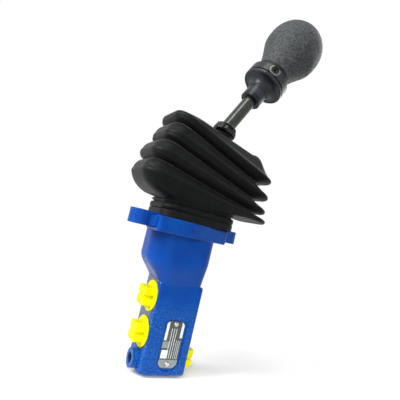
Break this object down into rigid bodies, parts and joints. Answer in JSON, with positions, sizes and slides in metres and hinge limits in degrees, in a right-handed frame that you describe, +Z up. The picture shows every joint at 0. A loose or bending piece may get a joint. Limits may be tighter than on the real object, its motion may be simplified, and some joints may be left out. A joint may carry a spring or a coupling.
{
  "type": "hydraulic pilot joystick valve",
  "caption": "Hydraulic pilot valve with a bolt-on flange, a cranked lever with a round knob above a pleated rubber boot, and side ports closed by transport caps.",
  "frame": {"origin": "axis of the valve body at the underside of the mounting flange", "axes": "+Z up the valve towards the lever, +X the way the upper lever leans, -Y the nameplate side"},
  "size_m": [0.1486, 0.06, 0.334],
  "materials": {
    "blue_paint": "gloss paint on a rough casting",
    "yellow_cap": "moulded, satin",
    "dark_steel": "black oxide",
    "bright_steel": "ground",
    "spring_steel": "drawn wire",
    "black_plate": "satin black",
    "brass": "turned",
    "seal_rubber": "smooth",
    "boot_rubber": "moulded, satin",
    "black_nylon": "moulded",
    "collar_grey": "satin dark grey",
    "knob_black": "fine grain",
    "plate_metal": "printed, satin"
  },
  "bodies": {
    "base": {"boot": "boot_rubber", "bracket_screws": "dark_steel", "bush_oring_left": "seal_rubber", "bush_oring_right": "seal_rubber", "control_spring_left": "spring_steel", "control_spring_right": "spring_steel", "cover_plate": "black_plate", "cover_screws": "dark_steel", "gallery_screw": "dark_steel", "guide_bush_left": "brass", "guide_bush_right": "brass", "housing": "blue_paint", "name_plate": "plate_metal", "pin_circlips": "bright_steel", "pivot_bracket": "black_plate", "pivot_pin": "bright_steel", "plate_rivets": "bright_steel", "plunger_seal_left": "seal_rubber", "plunger_seal_right": "seal_rubber", "port_cap_back": "yellow_cap", "port_cap_lower_left": "yellow_cap", "port_cap_right": "yellow_cap", "port_cap_upper_left": "yellow_cap", "return_spring_left": "spring_steel", "return_spring_right": "spring_steel"},
    "lever": {"rocker": "black_plate", "rocker_bush": "brass", "pressure_screws": "bright_steel", "pressure_screw_nuts": "bright_steel", "lever_arm": "dark_steel", "lever_lock_nut": "dark_steel", "boot_tie": "black_nylon", "collar": "collar_grey", "collar_screw": "dark_steel", "knob": "knob_black", "knob_insert": "brass"},
    "plunger_left": {"plunger_left": "bright_steel", "spring_seat_left": "bright_steel"},
    "spool_left": {"spool_left": "bright_steel"},
    "plunger_right": {"plunger_right": "bright_steel", "spring_seat_right": "bright_steel"},
    "spool_right": {"spool_right": "bright_steel"}
  },
  "joints": [
    {"name": "lever_tilt", "type": "hinge", "parent": "base", "child": "lever", "pos_m": [0, 0, 0.026], "axis": [0, 1, 0], "range_deg": [-20, 20], "stiffness_Nm_per_rad": 8, "springref_deg": -1.15, "deforming": ["boot"]},
    {"name": "plunger_slide_left", "type": "slide", "parent": "base", "child": "plunger_left", "axis": [0, 0, 1], "range_m": [-0.0036, 0.0036], "deforming": ["return_spring_left", "control_spring_left"]},
    {"name": "spool_slide_left", "type": "slide", "parent": "base", "child": "spool_left", "axis": [0, 0, 1], "range_m": [-0.0013, 0.0013]},
    {"name": "plunger_slide_right", "type": "slide", "parent": "base", "child": "plunger_right", "axis": [0, 0, 1], "range_m": [-0.0036, 0.0036], "deforming": ["return_spring_right", "control_spring_right"]},
    {"name": "spool_slide_right", "type": "slide", "parent": "base", "child": "spool_right", "axis": [0, 0, 1], "range_m": [-0.0013, 0.0013]}
  ],
  "couplings": [
    {"joint": "plunger_slide_left", "follows": "lever_tilt", "m_per_rad": 0.01},
    {"joint": "spool_slide_left", "follows": "lever_tilt", "m_per_rad": 0.00344},
    {"joint": "plunger_slide_right", "follows": "lever_tilt", "m_per_rad": -0.01},
    {"joint": "spool_slide_right", "follows": "lever_tilt", "m_per_rad": -0.00344}
  ]
}
